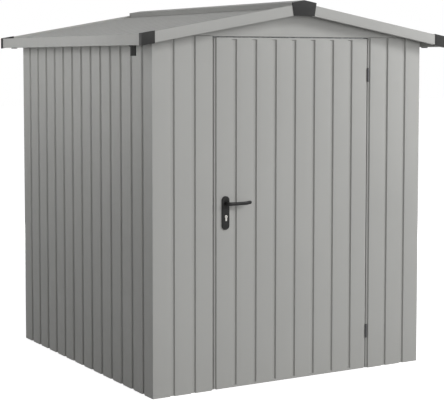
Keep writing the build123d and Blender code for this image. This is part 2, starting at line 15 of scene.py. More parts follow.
import bmesh
import bpy
from mathutils import Matrix, Vector


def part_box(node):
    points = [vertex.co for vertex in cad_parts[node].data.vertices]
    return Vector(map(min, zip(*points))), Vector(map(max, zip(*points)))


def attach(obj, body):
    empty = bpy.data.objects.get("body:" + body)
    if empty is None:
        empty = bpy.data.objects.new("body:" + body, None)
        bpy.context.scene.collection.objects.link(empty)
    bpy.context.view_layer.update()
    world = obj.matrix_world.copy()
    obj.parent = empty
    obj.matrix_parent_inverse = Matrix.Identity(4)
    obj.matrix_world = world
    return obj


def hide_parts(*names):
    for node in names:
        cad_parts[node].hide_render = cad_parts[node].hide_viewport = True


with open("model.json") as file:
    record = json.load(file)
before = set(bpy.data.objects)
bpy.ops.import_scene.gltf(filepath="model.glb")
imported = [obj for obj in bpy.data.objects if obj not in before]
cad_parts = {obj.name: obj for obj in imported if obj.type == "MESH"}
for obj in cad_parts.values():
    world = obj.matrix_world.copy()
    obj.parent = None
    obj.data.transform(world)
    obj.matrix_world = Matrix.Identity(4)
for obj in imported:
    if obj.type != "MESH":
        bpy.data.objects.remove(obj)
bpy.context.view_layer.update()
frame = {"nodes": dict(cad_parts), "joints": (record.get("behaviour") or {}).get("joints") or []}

LOG = logging.getLogger("tool_shed")

Point = tuple[float, float]
Place = tuple[float, float, float]
Colour = tuple[float, float, float]
Ring = list[Vector]
Grid = list[list[Vector]]
Keep = Callable[[int, int], bool]
Solid = bmesh.types.BMesh
Socket = bpy.types.NodeSocket
Wiring = dict[str | int, Socket | float | Sequence[float]]

TOUCH = 1e-6  # points closer than this touch
BAND = 0.001  # half a strip of sheet, within which a fold counts as beside the lock
HOLLOW, LUMP = 0.3, 0.7  # values of soft noise that count as its hollows and its lumps


class Body(Enum):
    """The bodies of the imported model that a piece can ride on."""

    SHED = "shed"
    DOOR = "door"
    HANDLE = "handle"


class Slot(Enum):
    """The record's finishes."""

    PAINT = "painted_sheet"
    FRAME = "frame_steel"
    PLASTIC = "black_plastic"
    HANDLE = "handle_black"
    HINGE = "hinge_steel"
    LOCK = "lock_steel"
    NICKEL = "cylinder_nickel"


class Side(Enum):
    """Left or right of the shed's middle plane, as seen from the front."""

    LEFT = -1
    RIGHT = 1


class End(Enum):
    """Front or rear of the shed."""

    FRONT = -1
    REAR = 1


# Finishes


@dataclass(frozen=True)
class NodeBoard:
    """A tree of shader nodes, with short ways to add them."""

    tree: bpy.types.NodeTree

    def wire(self, node: bpy.types.Node, wiring: Wiring) -> bpy.types.Node:
        """Give a node's inputs what they take.

        Args:
            node: The node.
            wiring: A socket to link, or a plain value, for each input.

        Returns:
            The same node.
        """
        for name, source in wiring.items():
            if isinstance(source, Socket):
                self.tree.links.new(source, node.inputs[name])
            else:
                node.inputs[name].default_value = source
        return node

    def add(self, kind: str, wiring: Wiring) -> bpy.types.Node:
        """A new node of a kind, with its inputs wired."""
        return self.wire(self.tree.nodes.new("ShaderNode" + kind), wiring)

    def combine(self, operation: str, first: Socket, second: Socket) -> Socket:
        """Two values worked into one.

        Args:
            operation: The kind of sum.
            first: One value.
            second: The other one.

        Returns:
            The socket of the result.
        """
        node = self.add("Math", {0: first, 1: second})
        node.operation = operation
        return node.outputs["Value"]

    def place(self, stretch: Sequence[float] = (1.0, 1.0, 1.0)) -> Socket:
        """Coordinates in metres that stay with the piece, scaled along each axis."""
        where = self.add("TexCoord", {}).outputs["Object"]
        return self.add("Mapping", {"Vector": where, "Scale": stretch}).outputs["Vector"]

    def noise(self, place: Socket, scale: float, detail: float) -> Socket:
        """Soft noise from 0 to 1, by its lumps in a metre and its finer layers."""
        return self.add("TexNoise", {"Vector": place, "Scale": scale, "Detail": detail}).outputs["Fac"]

    def spread(self, source: Socket, low: float, high: float) -> Socket:
        """Noise stretched over a range, from its hollows to its lumps."""
        ends = {"From Min": HOLLOW, "From Max": LUMP, "To Min": low, "To Max": high}
        return self.add("MapRange", {"Value": source, **ends}).outputs["Result"]

    def tint(self, source: Socket, low: Colour, high: Colour) -> Socket:
        """A colour that follows noise.

        Args:
            source: The noise.
            low: Colour in its hollows.
            high: Colour on its lumps.

        Returns:
            The socket of the colour.
        """
        ramp = self.add("ValToRGB", {"Fac": source})
        for stop, position, colour in zip(ramp.color_ramp.elements, (HOLLOW, LUMP), (low, high)):
            stop.position = position
            stop.color = (*colour, 1.0)
        return ramp.outputs["Color"]

    def blend(self, share: Socket, under: Socket, over: Colour) -> Socket:
        """One colour laid over another.

        Args:
            share: How much of the upper colour shows.
            under: The lower colour.
            over: The upper colour.

        Returns:
            The socket of the result.
        """
        mix = self.add("Mix", {"Factor": share})
        mix.data_type = "RGBA"
        lower, upper = [socket for socket in mix.inputs if socket.type == "RGBA"]
        self.tree.links.new(under, lower)
        upper.default_value = (*over, 1.0)
        return next(socket for socket in mix.outputs if socket.type == "RGBA")


class Mottle(NamedTuple):
    """Soft noise: lumps in a metre, finer layers, and its values in the hollows and on the lumps."""

    scale: float
    detail: float
    low: float
    high: float

    def spread(self, board: NodeBoard, place: Socket) -> Socket:
        """The noise as a value."""
        return board.spread(board.noise(place, self.scale, self.detail), self.low, self.high)

    def tint(self, board: NodeBoard, place: Socket, colour: Colour) -> Socket:
        """The noise as shares of a colour."""
        low, high = ([channel * share for channel in colour] for share in (self.low, self.high))
        return board.tint(board.noise(place, self.scale, self.detail), low, high)


class Grain(NamedTuple):
    """Fine relief: lumps in a metre, finer layers, height in metres, and the share that shows."""

    scale: float
    detail: float
    depth: float
    strength: float

    def relief(self, board: NodeBoard, place: Socket, below: Socket | None = None) -> Socket:
        """The relief on a piece.

        Args:
            board: The material's nodes.
            place: Coordinates on the piece.
            below: The normal of a relief that it lies on, if any.

        Returns:
            The socket of its normal.
        """
        height = board.noise(place, self.scale, self.detail)
        bump = board.add("Bump", {"Height": height, "Distance": self.depth, "Strength": self.strength})
        if below is not None:
            board.wire(bump, {"Normal": below})
        return bump.outputs["Normal"]


@dataclass(frozen=True)
class Finish:
    """A finish that a material is made from."""

    name: str

    def make(self) -> bpy.types.Material:
        """Make the finish.

        Returns:
            The material.
        """
        material = bpy.data.materials.new(self.name)
        material.use_nodes = True
        board = NodeBoard(material.node_tree)
        board.wire(material.node_tree.nodes["Principled BSDF"], self.channels(board, board.place()))
        return material

    def channels(self, board: NodeBoard, place: Socket) -> Wiring:
        """The finish's own nodes.

        Args:
            board: The material's nodes.
            place: Coordinates on the piece.

        Returns:
            What the shader's inputs take.
        """
        raise NotImplementedError


@dataclass(frozen=True)
class PaintedSheet(Finish):
    """Satin powder coat on thin sheet: fine orange peel, faint waves in the metal, a little dust low down."""

    colour: Colour = (0.42, 0.42, 0.405)
    patches: Mottle = Mottle(1.7, 3.0, 0.975, 1.025)
    sheen: Mottle = Mottle(26.0, 4.0, 0.52, 0.62)
    waves: Grain = Grain(3.2, 1.0, 0.0016, 0.35)
    peel: Grain = Grain(520.0, 2.0, 0.00005, 0.35)
    dust: Colour = (0.33, 0.315, 0.285)
    dust_height: float = 0.28
    dust_share: float = 0.10
    streaks: Mottle = Mottle(3.0, 4.0, 0.2, 1.0)
    streak_stretch: Sequence[float] = (9.0, 9.0, 1.4)

    def channels(self, board: NodeBoard, place: Socket) -> Wiring:
        """The finish's own nodes.

        Args:
            board: The material's nodes.
            place: Coordinates on the piece.

        Returns:
            What the shader's inputs take.
        """
        paint = self.patches.tint(board, place, self.colour)
        waves = self.waves.relief(board, place)
        return {
            "Base Color": board.blend(self.dust_cover(board, place), paint, self.dust),
            "Roughness": self.sheen.spread(board, place),
            "Normal": self.peel.relief(board, place, waves),
        }

    def dust_cover(self, board: NodeBoard, place: Socket) -> Socket:
        """The share of dust, which grows towards the ground and breaks up into streaks.

        Args:
            board: The material's nodes.
            place: Coordinates on the piece.

        Returns:
            The socket of the share.
        """
        height = board.add("SeparateXYZ", {"Vector": place}).outputs["Z"]
        ends = {"From Min": self.dust_height, "From Max": 0.0, "To Max": self.dust_share}
        rise = board.add("MapRange", {"Value": height, **ends})
        rise.interpolation_type = "SMOOTHSTEP"
        streaks = self.streaks.spread(board, board.place(self.streak_stretch))
        return board.combine("MULTIPLY", rise.outputs["Result"], streaks)


@dataclass(frozen=True)
class GalvanisedSteel(Finish):
    """Zinc-coated steel with its pale crystals."""

    dark: Colour = (0.32, 0.33, 0.34)
    pale: Colour = (0.44, 0.45, 0.46)
    crystals: float = 85.0
    roughness: Point = (0.42, 0.58)
    grain: Grain = Grain(240.0, 3.0, 0.00008, 0.3)
    metallic: float = 0.4

    def channels(self, board: NodeBoard, place: Socket) -> Wiring:
        """The finish's own nodes.

        Args:
            board: The material's nodes.
            place: Coordinates on the piece.

        Returns:
            What the shader's inputs take.
        """
        cells = board.add("TexVoronoi", {"Vector": place, "Scale": self.crystals}).outputs["Color"]
        split = board.add("SeparateColor", {"Color": cells}).outputs
        return {
            "Base Color": board.tint(split["Red"], self.dark, self.pale),
            "Roughness": board.spread(split["Green"], *self.roughness),
            "Normal": self.grain.relief(board, place),
            "Metallic": self.metallic,
        }


@dataclass(frozen=True)
class GrainedFinish(Finish):
    """Plastic, coat or plating: a little uneven in tone and sheen, with a grain or marks along an axis."""

    colour: Colour
    tone: Mottle
    sheen: Mottle
    grain: Grain
    metallic: float = 0.0
    gloss: float = 0.5
    marks: Sequence[float] = (1.0, 1.0, 1.0)

    def channels(self, board: NodeBoard, place: Socket) -> Wiring:
        """The finish's own nodes.

        Args:
            board: The material's nodes.
            place: Coordinates on the piece.

        Returns:
            What the shader's inputs take.
        """
        return {
            "Base Color": self.tone.tint(board, place, self.colour),
            "Roughness": self.sheen.spread(board, place),
            "Normal": self.grain.relief(board, board.place(self.marks)),
            "Metallic": self.metallic,
            "Specular IOR Level": self.gloss,
        }


def plating(name: str, colour: Colour, metallic: float, roughness: float, marks: Sequence[float]) -> Finish:
    """Bare or plated metal with fine marks of its making.

    Args:
        name: The finish's name.
        colour: Its colour.
        metallic: Share of bare metal.
        roughness: Its middle roughness.
        marks: How short the marks are along each axis.

    Returns:
        The finish.
    """
    tone, grain = Mottle(55.0, 4.0, 0.86, 1.1), Grain(420.0, 2.0, 0.00003, 0.3)
    bright_share, dull_share = 0.85, 1.2
    sheen = Mottle(90.0, 3.0, roughness * bright_share, roughness * dull_share)
    return GrainedFinish(name, colour, tone, sheen, grain, metallic, marks=marks)


def make_finishes() -> dict[Slot, bpy.types.Material]:
    """Make every finish.

    Returns:
        The material of each slot.
    """
    plastic = GrainedFinish(
        "moulded_black", (0.027, 0.027, 0.0265), Mottle(14.0, 3.0, 0.88, 1.14), Mottle(60.0, 3.0, 0.46, 0.58),
        Grain(900.0, 2.0, 0.00008, 0.4), gloss=0.18,
    )
    coat = GrainedFinish(
        "handle_coat", (0.016, 0.016, 0.0158), Mottle(40.0, 3.0, 0.85, 1.2), Mottle(35.0, 4.0, 0.28, 0.42),
        Grain(700.0, 2.0, 0.00004, 0.3), gloss=0.2,
    )
    finishes = {
        Slot.PAINT: PaintedSheet("painted_sheet_coat"),
        Slot.FRAME: GalvanisedSteel("galvanised_frame"),
        Slot.PLASTIC: plastic,
        Slot.HANDLE: coat,
        Slot.HINGE: plating("hinge_plating", (0.085, 0.085, 0.088), 0.6, 0.42, (1.0, 1.0, 8.0)),
        Slot.LOCK: plating("zinc_plating", (0.50, 0.50, 0.49), 0.9, 0.38, (6.0, 6.0, 1.0)),
        Slot.NICKEL: plating("nickel_plating", (0.46, 0.45, 0.425), 1.0, 0.3, (1.0, 8.0, 1.0)),
    }
    return {slot: finish.make() for slot, finish in finishes.items()}


# Ways of making meshes


@dataclass(frozen=True)
class BendLine:
    """A line of folds across a sheet, with a rounded bend at every corner."""

    points: Sequence[Point]
    radius: float
    bend_step: float = math.radians(18)
    straight_within: float = math.radians(1)
    length_share: float = 0.45

    def samples(self) -> list[Vector]:
        """Points along the line, close together round the bends."""
        line = [Vector(point) for point in self.points]
        return [line[0], *chain.from_iterable(map(self.bend, line, line[1:], line[2:])), line[-1]]

    def bend(self, before: Vector, corner: Vector, after: Vector) -> list[Vector]:
        """The rounded bend at one corner.

        Args:
            before: The point before the corner.
            corner: The sharp corner.
            after: The point after it.

        Returns:
            Points round the bend, or the corner itself where the line runs straight on.
        """
        come, go = corner - before, after - corner
        room = self.length_share * min(come.length, go.length)
        come.normalize()
        go.normalize()
        turn = math.atan2(come.x * go.y - come.y * go.x, come.dot(go))
        if abs(turn) < self.straight_within:
            return [corner]
        reach = min(self.radius * math.tan(abs(turn) / 2), room)
        radius = reach / math.tan(abs(turn) / 2)
        arm = Vector((come.y, -come.x)) * math.copysign(radius, turn)
        centre = corner - come * reach - arm
        steps = max(2, math.ceil(abs(turn) / self.bend_step))
        return [centre + Matrix.Rotation(turn * step / steps, 2) @ arm for step in range(steps + 1)]


def everywhere(row: int, column: int) -> bool:
    """Keep every cell of a grid."""
    return True


def grid_normals(rows: Grid) -> Grid:
    """Normals of a grid of points, from their neighbours.

    Args:
        rows: Points by row and column.

    Returns:
        A normal for each point.
    """
    last_row, last_column = len(rows) - 1, len(rows[0]) - 1
    normals = []
    for i, row in enumerate(rows):
        down = [low - up for up, low in zip(rows[max(i - 1, 0)], rows[min(i + 1, last_row)])]
        along = [row[min(j + 1, last_column)] - row[max(j - 1, 0)] for j in range(last_column + 1)]
        normals.append([a.cross(b).normalized() for a, b in zip(down, along)])
    return normals


def thick_sheet(rows: Grid, thickness: float, keep: Keep = everywhere) -> Solid:
    """A sheet with its real thickness.

    Args:
        rows: Points of one face, by row and column.
        thickness: Distance to the other face, along the grid's normals or against them.
        keep: Says whether the cell after a row and a column is part of the sheet.

    Returns:
        The solid.
    """
    solid = bmesh.new()
    near = [[solid.verts.new(point) for point in row] for row in rows]
    far = [
        [solid.verts.new(point + normal * thickness) for point, normal in zip(row, row_normals)]
        for row, row_normals in zip(rows, grid_normals(rows))
    ]
    height, width = len(rows) - 1, len(rows[0]) - 1
    kept = {(i, j) for i in range(height) for j in range(width) if keep(i, j)}
    for i, j in sorted(kept):
        corners = [(i, j), (i + 1, j), (i + 1, j + 1), (i, j + 1)]
        beyond = [(i, j - 1), (i + 1, j), (i, j + 1), (i - 1, j)]
        solid.faces.new([near[row][column] for row, column in corners])
        solid.faces.new([far[row][column] for row, column in reversed(corners)])
        for (a, b), (c, d), neighbour in zip(corners, corners[1:] + corners[:1], beyond):
            if neighbour not in kept:
                solid.faces.new([near[c][d], near[a][b], far[a][b], far[c][d]])
    bmesh.ops.delete(solid, geom=[vert for vert in solid.verts if not vert.link_faces], context="VERTS")
    return solid


@dataclass(frozen=True)
class SheetRun:
    """Where a folded sheet lies: its section's axes and the way it runs."""

    origin: Place
    across: Place
    inwards: Place
    run: Place

    def sheet(
        self, samples: Iterable[Vector], thickness: float, shares: Sequence[float] = (0.0, 1.0),
        keep: Keep = everywhere,
    ) -> Solid:
        """The sheet, with its thickness to the left of its section's line.

        Args:
            samples: Points along the section.
            thickness: Its thickness; a negative one lies to the right.
            shares: Where its points stand, as shares of the run.
            keep: Says whether the cell after a sample and a share is part of it.

        Returns:
            The solid.
        """
        origin, across, inwards, run = map(Vector, (self.origin, self.across, self.inwards, self.run))
        rows = [[origin + across * a + inwards * b + run * share for share in shares] for a, b in samples]
        return thick_sheet(rows, -math.copysign(1.0, across.cross(inwards).dot(run)) * thickness, keep)


def oval(half_width: float, half_height: float, steps: int, power: float = 1.0) -> list[Point]:
    """Points round an oval, which a lower power makes into a box with soft corners.

    Args:
        half_width: Half its width.
        half_height: Half its height.
        steps: How many points.
        power: The power of the sine and cosine.

    Returns:
        The points.
    """
    points = []
    for step in range(steps):
        across, up = math.cos(math.tau * step / steps), math.sin(math.tau * step / steps)
        across, up = math.copysign(abs(across) ** power, across), math.copysign(abs(up) ** power, up)
        points.append((half_width * across, half_height * up))
    return points


def facing(place: Place, way: Place) -> Matrix:
    """The stand of a small piece: at a place, with its Z along a way."""
    return Matrix.Translation(place) @ Vector(way).to_track_quat("Z", "Y").to_matrix().to_4x4()


def ring(stand: Matrix, outline: Iterable[Point], height: float) -> Ring:
    """An outline at a height along a stand's Z."""
    return [stand @ Vector((x, y, height)) for x, y in outline]


def turned(stand: Matrix, profile: Iterable[Point], steps: int) -> list[Ring]:
    """Rings of a turned shape, by radius and height; a radius of zero gives one point."""
    return [ring(stand, oval(size, size, steps if size else 1), height) for size, height in profile]


def add_loft(solid: Solid, rings: Sequence[Ring], closed: bool = False) -> None:
    """Add a shape that runs through rings of as many points each, or of one point.

    Args:
        solid: The solid to add to.
        rings: The rings, from one end to the other.
        closed: Whether the last ring joins the first; if not, both ends are capped.
    """
    loops = [[solid.verts.new(point) for point in points] for points in rings]
    for lower, upper in zip(loops, loops[1:] + (loops[:1] if closed else [])):
        for step in range(max(len(lower), len(upper))):
            corners = [lower[step % len(lower)], lower[(step + 1) % len(lower)]]
            corners += [upper[(step + 1) % len(upper)], upper[step % len(upper)]]
            solid.faces.new(list(dict.fromkeys(corners)))
    for loop in (loops[0], loops[-1]):
        if len(loop) > 1 and not closed:
            solid.faces.new(loop)


def softened(
    node: str, width: float, steps: int, sharp_from: float = 28.0, flat_within: float = 0.6
) -> Solid:
    """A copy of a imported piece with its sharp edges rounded.

    Args:
        node: The piece's name.
        width: How far a rounding reaches from the edge.
        steps: Facets of a rounding.
        sharp_from: The angle, in degrees, from which an edge is rounded.
        flat_within: The angle, in degrees, under which two facets are one face.

    Returns:
        The rounded solid.
    """
    solid = bmesh.new()
    solid.from_mesh(frame["nodes"][node].data)
    bmesh.ops.remove_doubles(solid, verts=solid.verts, dist=TOUCH)
    flat = math.radians(flat_within)
    bmesh.ops.dissolve_limit(solid, angle_limit=flat, verts=solid.verts, edges=solid.edges)
    edges = [edge for edge in solid.edges if edge.calc_face_angle(0.0) > math.radians(sharp_from)]
    bmesh.ops.bevel(
        solid, geom=edges, offset=width, segments=steps, profile=0.5, affect="EDGES", clamp_overlap=True
    )
    return solid


@dataclass
class Workshop:
    """Puts finished pieces on the frame, each with its body and its finish."""

    finishes: dict[Slot, bpy.types.Material]
    rounded_sharp_from: float = 40.0

    def add(
        self, name: str, solid: Solid, body: Body, slot: Slot, node: str = "", sharp_from: float = 32.0
    ) -> None:
        """Put a piece in place, shaded smooth with an edge wherever it turns sharply.

        Args:
            name: Its name.
            solid: Its solid, which is freed.
            body: The body it rides on.
            slot: Its finish.
            node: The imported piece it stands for, if any.
            sharp_from: The angle, in degrees, from which an edge shows.
        """
        bmesh.ops.recalc_face_normals(solid, faces=solid.faces)
        mesh = bpy.data.meshes.new(name)
        solid.to_mesh(mesh)
        solid.free()
        mesh.shade_smooth()
        mesh.set_sharp_from_angle(angle=math.radians(sharp_from))
        mesh.materials.append(self.finishes[slot])
        piece = bpy.data.objects.new(name, mesh)
        bpy.context.scene.collection.objects.link(piece)
        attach(piece, body.value)
        if node:
            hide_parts(node)
        LOG.info("%s: %d faces, rides on %s, finish %s", name, len(mesh.polygons), body.value, slot.value)

    def fold(self, node: str, solid: Solid) -> None:
        """Put a folded sheet on the shed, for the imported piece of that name."""
        self.add(node + "_folded", solid, Body.SHED, Slot.PAINT, node)

    def soften(self, node: str, body: Body, slot: Slot, width: float, steps: int) -> None:
        """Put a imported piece's own shape in its place, with rounded edges."""
        solid = softened(node, width, steps)
        self.add(node + "_rounded", solid, body, slot, node, self.rounded_sharp_from)

    def dress(self, node: str, slot: Slot) -> None:
        """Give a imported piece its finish."""
        frame["nodes"][node].material_slots[0].material = self.finishes[slot]
        LOG.info("%s: packed piece, finish %s", node, slot.value)


# The shed's own sizes


@dataclass(frozen=True)
class ShedSizes:
    """Sizes that several sub-assemblies share; the first ones are read from the frame."""

    half_width: float
    half_depth: float
    panel_height: float
    roof_half_width: float
    roof_half_depth: float
    eave_top: float
    ridge_top: float
    wall_sheet: float = 0.0005
    trim_sheet: float = 0.0006
    frame_sheet: float = 0.0012
    groove_pitch: float = 0.130
    groove_mouth: float = 0.030
    groove_floor: float = 0.024
    groove_depth: float = 0.010
    groove_margin: float = 0.060
    roof_sheet_drop: float = 0.012
    fascia: float = 0.060
    bend: float = 0.0022
    door_half: float = 0.520
    door_gap: float = 0.006
    door_ground_gap: float = 0.0025
    panel_return: float = 0.034
    handle_x: float = -0.450
    handle_z: float = 1.032
    lock_depth: float = 0.01815

    @classmethod
    def from_frame(cls) -> "ShedSizes":
        """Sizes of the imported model.

        Returns:
            The sizes.
        """
        gutter_low, gutter_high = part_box("gutter_left")
        verge_low, verge_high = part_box("verge_front_left")
        front_low, front_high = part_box("front_wall_left")
        return cls(
            half_width=-front_low.x,
            half_depth=-front_low.y,
            panel_height=front_high.z,
            roof_half_width=-gutter_low.x,
            roof_half_depth=-verge_low.y,
            eave_top=gutter_high.z,
            ridge_top=verge_high.z,
        )

    @property
    def slope(self) -> float:
        """Rise of the roof over its run."""
        return (self.ridge_top - self.eave_top) / self.roof_half_width

    @property
    def lean(self) -> float:
        """Run of the roof along its slope, as a share of the slope's length."""
        return 1 / math.hypot(1, self.slope)

    def verge_top(self, x: float) -> float:
        """Height of the verge trims' top edge."""
        return self.ridge_top - abs(x) * self.slope

    def sheet_top(self, x: float) -> float:
        """Height of the roof sheets' flats."""
        return self.verge_top(x) - self.roof_sheet_drop

    def groove_under(self, x: float) -> float:
        """Height of the underside of the roof sheets' grooves."""
        return self.sheet_top(x) - (self.groove_depth + self.wall_sheet) / self.lean

    def groove_places(self, half_length: float) -> list[float]:
        """Centres of the grooves on a sheet of a half length."""
        steps = int((half_length - self.groove_margin) / self.groove_pitch)
        return [step * self.groove_pitch for step in range(-steps, steps + 1)]

    def grooves(self, centres: Iterable[float]) -> list[Point]:
        """The folds of a row of grooves.

        Args:
            centres: Their places along the sheet.

        Returns:
            Corners, along the sheet and inwards from it.
        """
        mouth, floor, depth = self.groove_mouth / 2, self.groove_floor / 2, self.groove_depth
        corners = ((-mouth, 0.0), (-floor, depth), (floor, depth), (mouth, 0.0))
        return [(centre + along, inwards) for centre in centres for along, inwards in corners]

    def bends(self, line: Sequence[Point]) -> list[Vector]:
        """Points along a line of folds, with the shed's own bends."""
        return BendLine(line, self.bend).samples()


# The shed's sub-assemblies


@dataclass
class WallSheets:
    """The grooved wall sheets, which wrap a little round the corners, and the flat gables."""

    shop: Workshop
    sizes: ShedSizes
    corner_wrap: float = 0.012
    gable_seam: float = 0.0025
    gable_lip: float = 0.006
    gable_hem: float = 0.004
    gable_step: float = 0.0002
    lap_depth: float = 0.0125
    lap_height: float = 0.012
    lap_reach: float = 0.80
    strike_half_depth: float = 0.006
    strike_windows: Sequence[Point] = ((0.943, 0.977), (1.021, 1.043))

    def build(self) -> None:
        """Build every wall sheet."""
        for side in Side:
            self.side_wall(side)
        self.rear_wall()
        for side in Side:
            self.front_panel(side)
        for end in End:
            self.gable(end)

    def side_wall(self, side: Side) -> None:
        """Build one side wall between the wrapped corners.

        Args:
            side: Which side it stands on.
        """
        sizes = self.sizes
        reach = sizes.half_depth - self.corner_wrap
        line = [(-reach, 0.0), *sizes.grooves(sizes.groove_places(sizes.half_depth)), (reach, 0.0)]
        run = SheetRun(
            origin=(side.value * sizes.half_width, 0, 0),
            across=(0, side.value, 0),
            inwards=(-side.value, 0, 0),
            run=(0, 0, sizes.groove_under(sizes.half_width)),
        )
        self.shop.fold(f"{side.name.lower()}_wall", run.sheet(sizes.bends(line), sizes.wall_sheet))

    def rear_wall(self) -> None:
        """Build the rear wall, round both rear corners."""
        sizes, reach = self.sizes, self.sizes.half_width
        line = [(-reach, self.corner_wrap), (-reach, 0.0), *sizes.grooves(sizes.groove_places(reach))]
        line += [(reach, 0.0), (reach, self.corner_wrap)]
        run = SheetRun((0, sizes.half_depth, 0), (-1, 0, 0), (0, -1, 0), (0, 0, sizes.panel_height))
        self.shop.fold("rear_wall", run.sheet(sizes.bends(line), sizes.wall_sheet))

    def front_panel(self, side: Side) -> None:
        """Build a front panel, from its corner to the doorway, where its edge turns in.

        Args:
            side: Which side of the door it stands on.
        """
        sizes, middle = self.sizes, -self.sizes.door_half
        doorway = middle - sizes.door_gap / 2
        places = sizes.groove_places(sizes.half_width)
        line = [(-sizes.half_width, self.corner_wrap), (-sizes.half_width, 0.0)]
        line += sizes.grooves(x for x in places if x < middle - sizes.groove_pitch / 2)
        line += sizes.grooves([middle])[:2]
        strike = (sizes.lock_depth - self.strike_half_depth, sizes.lock_depth + self.strike_half_depth)
        line += [(doorway, depth) for depth in (sizes.groove_depth, *strike, sizes.panel_return)]
        samples = sizes.bends(line)

        def keep(row: int, column: int) -> bool:
            """Leave the strike's windows open beside the lock.

            Args:
                row: The cell's row.
                column: The cell's column.

            Returns:
                Whether it is part of the sheet.
            """
            depth = (samples[row].y + samples[row + 1].y) / 2
            beside_bolt = samples[row].x > doorway - TOUCH and abs(depth - sizes.lock_depth) < BAND
            return not (side is Side.LEFT and beside_bolt and column % 2 == 1)

        run = SheetRun((0, -sizes.half_depth, 0), (-side.value, 0, 0), (0, 1, 0), (0, 0, sizes.panel_height))
        shares = [0.0, *(edge / sizes.panel_height for window in self.strike_windows for edge in window), 1.0]
        solid = run.sheet(samples, sizes.wall_sheet, shares, keep)
        self.shop.fold(f"front_wall_{side.name.lower()}", solid)

    def gable(self, end: End) -> None:
        """Build a gable sheet.

        Args:
            end: Which end of the shed it closes.
        """
        sizes = self.sizes
        doorway = sizes.door_half + sizes.door_gap / 2
        turns = [doorway, doorway + self.gable_step, self.lap_reach, self.lap_reach + self.gable_step]
        turns.append(sizes.half_width)
        rows = []
        for x in [-turn for turn in reversed(turns)] + [0.0] + turns:
            samples = sizes.bends(self.gable_line(abs(x), end is End.FRONT and abs(x) <= doorway))
            rows.append([Vector((x, end.value * (sizes.half_depth - depth), z)) for depth, z in samples])
        self.shop.fold(f"{end.name.lower()}_gable", thick_sheet(rows, -end.value * sizes.wall_sheet))

    def gable_line(self, across: float, over_door: bool) -> list[Point]:
        """The folds of a gable sheet at one place across it.

        Args:
            across: Distance from the middle of the shed.
            over_door: Whether it turns in over the door; beside it, it laps behind the panels.

        Returns:
            Depth and height of the corners, from the lower edge to the top.
        """
        low, lap = self.sizes.panel_height, self.lap_depth
        top = self.sizes.sheet_top(across) - self.sizes.wall_sheet / self.sizes.lean
        if across <= self.lap_reach and not over_door:
            joint = low + self.gable_seam
            return [(lap, low - self.lap_height), (lap, joint), (0.0, joint), (0.0, top)]
        lip = self.sizes.panel_return if over_door else self.gable_lip
        return [(lip, low + self.gable_hem), (lip, low), (0.0, low), (0.0, top)]


